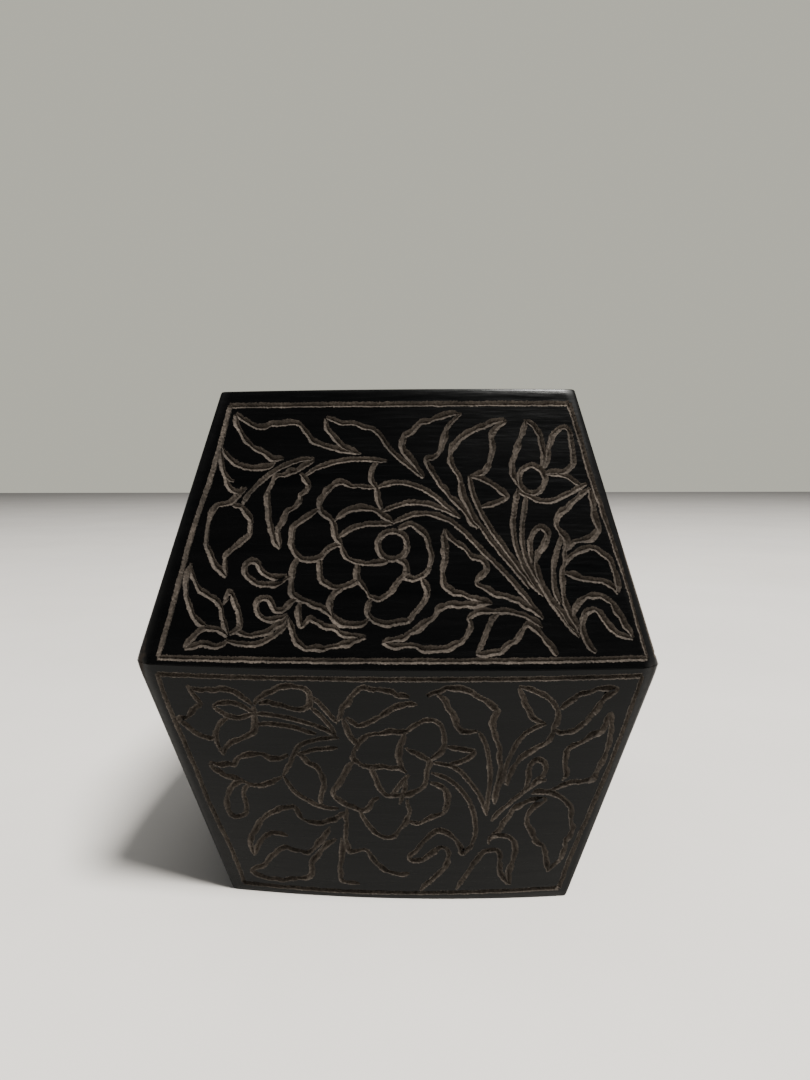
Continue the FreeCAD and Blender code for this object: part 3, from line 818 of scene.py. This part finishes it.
     (38.6, 82.0), (41.0, 78.8), (43.4, 75.8)],
    [(47.8, 109.8), (45.2, 107.7), (42.2, 105.3), (39.9, 103.2), (39.4, 100.9), (40.6, 99.0),
     (41.6, 97.6), (41.2, 95.0), (40.8, 92.0), (40.4, 89.0), (40.4, 85.8), (40.9, 82.4),
     (42.4, 79.0), (44.0, 75.8)],
    [(47.9, 109.4), (48.5, 105.6), (49.0, 102.2), (49.3, 99.9), (48.4, 98.2), (46.0, 97.4),
     (43.8, 96.8), (41.6, 94.8)],
    [(40.5, 98.6), (39.5, 95.6), (38.5, 92.4), (38.1, 89.0), (38.4, 85.6), (39.6, 82.2)],
    [(41.0, 91.4), (42.8, 93.6), (45.3, 95.0), (47.8, 95.3), (50.0, 94.2), (52.0, 92.0),
     (53.3, 89.0), (53.8, 86.5), (53.6, 84.5)],
    [(40.8, 89.7), (43.2, 88.9), (45.8, 87.9), (48.8, 87.8), (51.2, 87.2), (52.8, 85.9),
     (53.9, 84.4)],
    [(42.5, 79.5), (43.4, 81.8), (45.4, 83.4), (48.0, 84.3), (50.7, 83.5), (52.7, 81.4),
     (54.2, 78.8), (55.6, 76.2), (56.8, 74.5)],
    [(47.8, 71.1), (46.2, 72.8), (45.0, 75.5), (44.8, 78.2), (45.8, 80.3), (47.7, 81.0),
     (49.4, 79.9), (50.8, 77.6), (52.6, 75.8), (54.8, 74.8), (56.8, 74.3)],
    [(11.9, 99.9), (11.8, 97.0), (12.0, 93.5), (11.6, 90.0), (11.8, 87.2), (13.4, 85.4),
     (16.0, 84.6), (19.0, 83.9), (21.4, 83.2), (23.4, 82.6)],
    [(12.0, 99.7), (14.0, 97.4), (16.6, 95.5), (18.6, 93.4), (21.0, 92.5), (22.0, 90.8),
     (20.9, 89.0), (19.6, 87.7), (21.8, 86.0), (24.6, 84.7), (27.6, 83.8), (30.6, 82.6),
     (33.2, 81.2), (35.6, 78.9)],
    [(-3.2, 73.6), (0.2, 74.4), (3.6, 75.6), (6.4, 77.4), (8.8, 79.3), (10.8, 81.3), (12.8, 82.5),
     (15.2, 82.3), (18.0, 82.3), (20.8, 82.8), (23.2, 82.7)],
    [(-3.2, 73.6), (-0.8, 72.9), (3.0, 72.8), (7.0, 72.5), (10.8, 72.2), (14.0, 72.8), (16.6, 74.6),
     (18.1, 77.0), (17.6, 79.2), (19.5, 80.4), (22.5, 81.0), (26.0, 80.8), (29.5, 80.2),
     (32.5, 79.0), (35.3, 77.2)],
    [(19.6, 71.2), (20.9, 73.6), (22.0, 76.3), (23.3, 79.0), (24.8, 80.4)],
    [(19.6, 71.1), (22.5, 71.3), (25.4, 71.9), (27.8, 73.6), (29.8, 74.9), (30.6, 76.9),
     (32.0, 77.8), (33.8, 76.7), (35.6, 74.6), (37.2, 72.7), (38.5, 71.0)],
]

lid_heights = [box_height - height for height in reversed(body_heights)]
lid_wear = {box_height - height: rubbed for height, rubbed in foot_wear.items()}
lid_wear[ridge_height] = 0.12
carved_walls("lid", "lid", lid_heights, lid_wear, lid_strokes, shift=(0.45, -0.1))


# The top board of the lid and the bottom board
# Two square boards let in flush between the walls. The top one has a border cut with the
# same gouge, and the bottom one is plain and stands back a little from the walls' foot.

board_thickness = 7.0
bottom_recess = 0.3
border_inset = 6.0


def square_board(name, low, high):
    """A board that fills the inside of the walls between two heights."""
    deselect()
    around = wall_stations * 4
    bpy.ops.mesh.primitive_circle_add(vertices=around, radius=1, fill_type="NGON")
    board = bpy.context.object
    board.name = name
    board.data.name = name
    bpy.ops.object.mode_set(mode="EDIT")
    bpy.ops.mesh.select_all(action="SELECT")
    bpy.ops.mesh.extrude_region_move(TRANSFORM_OT_translate={"value": (0, 0, 1)})
    bpy.ops.mesh.select_all(action="SELECT")
    bpy.ops.mesh.normals_make_consistent(inside=False)
    bpy.ops.object.mode_set(mode="OBJECT")
    for vertex in board.data.vertices:
        angle = math.degrees(math.atan2(vertex.co.y, vertex.co.x)) % 360
        station = round(angle / 360 * around) % around
        z = high if vertex.co.z > 0.5 else low
        x, y = wall_inside(station % wall_stations, z)
        quarter = Matrix.Rotation(math.radians(90 * (station // wall_stations)), 3, "Z")
        vertex.co = quarter @ Vector((x, y, z)) * mm
    return board


def border_strokes():
    """Four cuts on the top board that run beside its bowed edges and meet at the corners."""
    half = end_half - wall_thickness - border_inset
    strokes = []
    for turn in range(4):
        quarter = Matrix.Rotation(math.radians(90 * turn), 3, "Z")
        stroke = []
        for share in (-1.0, -0.5, 0.0, 0.5, 1.0):
            point = Vector((half * share, -half - end_bow * (1 - share * share), 0))
            point.rotate(quarter)
            stroke.append((point.x, point.y))
        strokes.append(stroke)
    return strokes


top_board = square_board("lid_top", box_height - board_thickness, box_height)
top_board.data.materials.append(lacquer_x)
top_board.data.materials.append(bare_cuts)
border_lines = cut_lines("border_lines", border_strokes(), (0, 0))
pick(border_lines)
bpy.ops.transform.translate(value=(0, 0, box_height * mm))
bpy.ops.object.transform_apply()
carve(top_board, border_lines, bare_cuts)
smooth(top_board, 30)
stand_for(top_board, "lid_top_board", "lid")

bottom_board = square_board("bottom", bottom_recess, board_thickness)
bottom_board.data.materials.append(lacquer_x)
smooth(bottom_board, 30)
stand_for(bottom_board, "bottom_board", "box_body")


# The splines, the lip and the tray's ledges
# Slips of planed brown hardwood, oiled but not lacquered. The splines are glued across the
# mitres, the lip lines the body and stands up into the lid, and the ledges carry the tray.

repeats_along = 9
repeats_across = 190
pore_fineness = 8
dark_grain = (0.085, 0.048, 0.029)
brown_grain = (0.2, 0.125, 0.08)
pale_grain = (0.31, 0.205, 0.135)


def planed_wood(name, along):
    """Brown oiled hardwood with its grain along x, y or z."""
    finish, tree, shader, coords = new_finish(name)
    size = tuple(repeats_along if axis == along else repeats_across for axis in "xyz")
    pores = tuple(value * pore_fineness for value in size)
    figure = grain(tree, coords, size, detail=6, rough=0.62, warp=0.6)
    pore = grain(tree, coords, pores, detail=3, rough=0.5)
    patch = grain(tree, coords, (30, 30, 30), detail=3, rough=0.5)
    mixed = blend(tree, (figure, 0.62), (pore, 0.22), (patch, 0.16))
    colour = ramp(tree, mixed, [(0.34, dark_grain), (0.5, brown_grain), (0.66, pale_grain)])
    tree.links.new(colour, shader.inputs["Base Color"])
    tree.links.new(ramp(tree, pore, [(0.3, 0.42), (0.7, 0.6)]), shader.inputs["Roughness"])
    shader.inputs["Specular IOR Level"].default_value = 0.4
    bump(tree, shader, [(figure, 0.00006), (pore, 0.00005)])
    return finish


def eased_copy(node, name, edge):
    """A copy of a solid's node with its faces made whole and its edges eased."""
    pick(frame["nodes"][node])
    bpy.ops.object.duplicate()
    copy = bpy.context.object
    world = copy.matrix_world.copy()
    copy.parent = None
    copy.matrix_world = world
    copy.name = name
    copy.data.name = name
    bpy.ops.object.transform_apply(location=True, rotation=True, scale=True)
    bpy.ops.object.mode_set(mode="EDIT")
    bpy.ops.mesh.select_all(action="SELECT")
    bpy.ops.mesh.remove_doubles(threshold=merge_distance * mm)
    bpy.ops.mesh.dissolve_limited(angle_limit=math.radians(0.5))
    bpy.ops.mesh.normals_make_consistent(inside=False)
    bpy.ops.object.mode_set(mode="OBJECT")
    ease = copy.modifiers.new("ease", "BEVEL")
    ease.width = edge * mm
    ease.segments = 2
    ease.limit_method = "ANGLE"
    ease.angle_limit = math.radians(30)
    bpy.ops.object.modifier_apply(modifier="ease")
    return copy


def dress(node, name, body, finish, edge):
    """An eased copy of a solid's node in its finish, which takes the node's place."""
    piece = eased_copy(node, name, edge)
    piece.data.materials.clear()
    piece.data.materials.append(finish)
    for face in piece.data.polygons:
        face.material_index = 0
    smooth(piece, 40)
    stand_for(piece, node, body)


wood_x = planed_wood("planed_wood_along_x", "x")
wood_y = planed_wood("planed_wood_along_y", "y")
wood_z = planed_wood("planed_wood_along_z", "z")
wood_on_side = {"front": wood_x, "back": wood_x, "right": wood_y, "left": wood_y}
for side, wood in wood_on_side.items():
    dress("lip_" + side + "_strip", "lip_" + side, "box_body", wood, 0.4)
for side in ("right", "left"):
    dress("tray_ledge_" + side, "ledge_" + side, "box_body", wood_y, 0.4)
for part in ("body", "lid"):
    splines = frame["nodes"][part + "_corner_splines"]
    splines.material_slots[0].material = wood_z


# The seat of the ink stone
# A pad of red wool felt on the bottom board, and four short bars glued round it that keep
# the stone from sliding.

felt_dark = (0.16, 0.012, 0.014)
felt_red = (0.36, 0.04, 0.04)


def wool_felt(name):
    """Pressed wool felt, dark red, with fibres on its skin."""
    finish, tree, shader, coords = new_finish(name)
    fibre = grain(tree, coords, (1500, 1500, 1500), detail=6, rough=0.7, warp=1.5)
    mottle = grain(tree, coords, (160, 160, 160), detail=4, rough=0.6)
    mixed = blend(tree, (fibre, 0.6), (mottle, 0.4))
    colour = ramp(tree, mixed, [(0.35, felt_dark), (0.65, felt_red)])
    tree.links.new(colour, shader.inputs["Base Color"])
    shader.inputs["Roughness"].default_value = 0.95
    shader.inputs["Specular IOR Level"].default_value = 0.15
    shader.inputs["Sheen Weight"].default_value = 0.35
    shader.inputs["Sheen Roughness"].default_value = 0.5
    bump(tree, shader, [(fibre, 0.0003), (mottle, 0.0002)])
    return finish


felt = wool_felt("red_wool_felt")
dress("stone_felt", "stone_pad", "box_body", felt, 0.35)
for side, wood in wood_on_side.items():
    dress("stone_" + side + "_bar", "stone_bar_" + side, "box_body", wood, 0.5)


# The ink stone
# One slab of fine dark slate, with a rim, a grinding face and a sloped well at one end.
# It is cut and then honed, so that it is satin with a few pale flecks.

slate_dark = (0.028, 0.03, 0.034)
slate_grey = (0.062, 0.064, 0.07)
slate_fleck = (0.14, 0.14, 0.145)


def honed_slate(name):
    """Blue-grey slate with faint cloudy bands, fine flecks and a honed skin."""
    finish, tree, shader, coords = new_finish(name)
    band = grain(tree, coords, (60, 160, 60), turned=(0, 0, 0.4), detail=5, warp=1.2)
    fleck = grain(tree, coords, (1300, 1300, 1300), detail=2, rough=0.5)
    tone = ramp(tree, band, [(0.3, slate_dark), (0.7, slate_grey)])
    pale = ramp(tree, fleck, [(0.66, 0.0), (0.72, 1.0)])
    tree.links.new(over(tree, pale, tone, slate_fleck), shader.inputs["Base Color"])
    tree.links.new(ramp(tree, band, [(0.3, 0.38), (0.7, 0.52)]), shader.inputs["Roughness"])
    bump(tree, shader, [(band, 0.00008), (fleck, 0.00003)])
    return finish


dress("ink_stone", "slate_ink_stone", "stone", honed_slate("honed_slate"), 0.6)


# The tray
# A thin floor with four rails round it and a taller divider, which is also its handle. The
# trough in front of the divider is lined with felt for the ink stick.

dress("tray_floor", "tray_bottom", "tray", wood_x, 0.3)
for side, wood in wood_on_side.items():
    dress("tray_" + side + "_rail", "rail_" + side, "tray", wood, 0.5)
dress("tray_divider", "divider", "tray", wood_x, 0.6)
dress("stick_felt", "stick_pad", "tray", felt, 0.35)


# The ink stick
# Soot and glue pressed in a wooden mould: a flat bar with eased edges and a sunk panel on
# its two broad faces. It carries no characters.

stick_edge = 1.2
panel_border = 2.6
panel_slope = 0.5
panel_step = 0.5
smallest_broad_face = 0.0005
ink_black = (0.009, 0.009, 0.0105)
ink_grey = (0.026, 0.026, 0.029)


def pressed_ink(name):
    """Soot-black ink, uneven from the mould and satin."""
    finish, tree, shader, coords = new_finish(name)
    skin = grain(tree, coords, (500, 500, 500), detail=5, rough=0.6)
    broad = grain(tree, coords, (70, 120, 120), detail=4, rough=0.6)
    colour = ramp(tree, broad, [(0.3, ink_black), (0.7, ink_grey)])
    tree.links.new(colour, shader.inputs["Base Color"])
    tree.links.new(ramp(tree, skin, [(0.3, 0.36), (0.7, 0.58)]), shader.inputs["Roughness"])
    bump(tree, shader, [(broad, 0.0001), (skin, 0.00005)])
    return finish


stick_low, stick_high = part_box("ink_stick")
stick_size = [high - low for low, high in zip(stick_low, stick_high)]
stick_middle = [(high + low) / 2 for low, high in zip(stick_low, stick_high)]
deselect()
bpy.ops.mesh.primitive_cube_add(size=1, location=stick_middle, scale=stick_size)
stick = bpy.context.object
stick.name = "pressed_ink_stick"
stick.data.name = stick.name
bpy.ops.object.transform_apply(location=True, rotation=True, scale=True)
bpy.ops.object.mode_set(mode="EDIT")
bpy.ops.mesh.select_all(action="SELECT")
bpy.ops.mesh.bevel(offset=stick_edge * mm, segments=4, profile=0.5)
bpy.ops.object.mode_set(mode="OBJECT")
for up in (1, -1):
    bpy.context.tool_settings.mesh_select_mode = (False, False, True)
    for item in (stick.data.vertices, stick.data.edges):
        item.foreach_set("select", [False] * len(item))
    for face in stick.data.polygons:
        face.select = face.normal.z * up > 0.999 and face.area > smallest_broad_face
    bpy.ops.object.mode_set(mode="EDIT")
    bpy.ops.mesh.inset(thickness=panel_border * mm, use_even_offset=True)
    bpy.ops.mesh.inset(thickness=panel_slope * mm, use_even_offset=True)
    bpy.ops.transform.translate(value=(0, 0, -up * panel_step * mm))
    bpy.ops.object.mode_set(mode="OBJECT")
stick.data.materials.append(pressed_ink("pressed_ink"))
smooth(stick, 30)
stand_for(stick, "ink_stick", "stick")


# The floor, the light and the camera
# A plain pale floor, one soft light high in front on the right, a wide weak one overhead,
# and dim air all round, so that the black lid stays black.

floor_dark = (0.62, 0.605, 0.58)
floor_pale = (0.67, 0.655, 0.63)


def floor_paint(name):
    """Pale matt paint with faint clouds."""
    finish, tree, shader, coords = new_finish(name)
    cloudy = grain(tree, coords, (6, 6, 6), detail=4)
    colour = ramp(tree, cloudy, [(0.3, floor_dark), (0.7, floor_pale)])
    tree.links.new(colour, shader.inputs["Base Color"])
    shader.inputs["Roughness"].default_value = 0.7
    return finish


deselect()
bpy.ops.mesh.primitive_plane_add(size=8)
floor = bpy.context.object
floor.name = "floor"
floor.data.materials.append(floor_paint("pale_floor"))

world = bpy.data.worlds.new("air")
bpy.context.scene.world = world
world.use_nodes = True
tree = world.node_tree
air = tree.nodes["Background"]
air.inputs["Color"].default_value = (0.9, 0.95, 1.0, 1)
air.inputs["Strength"].default_value = 0.05
behind = tree.nodes.new("ShaderNodeBackground")
behind.inputs["Color"].default_value = (0.546, 0.538, 0.461, 1)
behind.inputs["Strength"].default_value = 1.0
seen = tree.nodes.new("ShaderNodeLightPath")
either = tree.nodes.new("ShaderNodeMixShader")
tree.links.new(seen.outputs["Is Camera Ray"], either.inputs["Fac"])
tree.links.new(air.outputs["Background"], either.inputs[1])
tree.links.new(behind.outputs["Background"], either.inputs[2])
tree.links.new(either.outputs["Shader"], tree.nodes["World Output"].inputs["Surface"])

light_aim = Vector((0, 0, 0.06))


def soft_light(name, place, size, power, colour):
    """A round lamp behind cloth, turned towards the box."""
    deselect()
    bpy.ops.object.light_add(type="AREA", location=place)
    light = bpy.context.object
    light.name = name
    light.data.shape = "DISK"
    light.data.size = size
    light.data.energy = power
    light.data.color = colour
    light.rotation_euler = (light_aim - Vector(place)).to_track_quat("-Z", "Y").to_euler()


soft_light("key", (0.95, -1.05, 2.6), 0.75, 250, (1.0, 0.965, 0.91))
soft_light("ceiling", (0.0, 0.2, 3.0), 3.6, 45, (1.0, 0.98, 0.94))

camera_place = Vector((0.0111, -0.2449, 0.1138))
camera_yaw = math.radians(2.55)
camera_pitch = math.radians(-5.08)
camera_roll = math.radians(-0.16)
forward = Vector((-math.sin(camera_yaw) * math.cos(camera_pitch),
                  math.cos(camera_yaw) * math.cos(camera_pitch), math.sin(camera_pitch)))
level = Vector((math.cos(camera_yaw), math.sin(camera_yaw), 0))
upright = level.cross(forward)
right = level * math.cos(camera_roll) + upright * math.sin(camera_roll)
up = upright * math.cos(camera_roll) - level * math.sin(camera_roll)
bpy.ops.object.camera_add()
camera = bpy.context.object
camera.matrix_world = Matrix((
    (right.x, up.x, -forward.x, camera_place.x),
    (right.y, up.y, -forward.y, camera_place.y),
    (right.z, up.z, -forward.z, camera_place.z),
    (0, 0, 0, 1)))
camera.data.lens = 25.667
camera.data.sensor_width = 36
camera.data.sensor_fit = "AUTO"
camera.data.clip_start = 0.01
bpy.context.scene.camera = camera
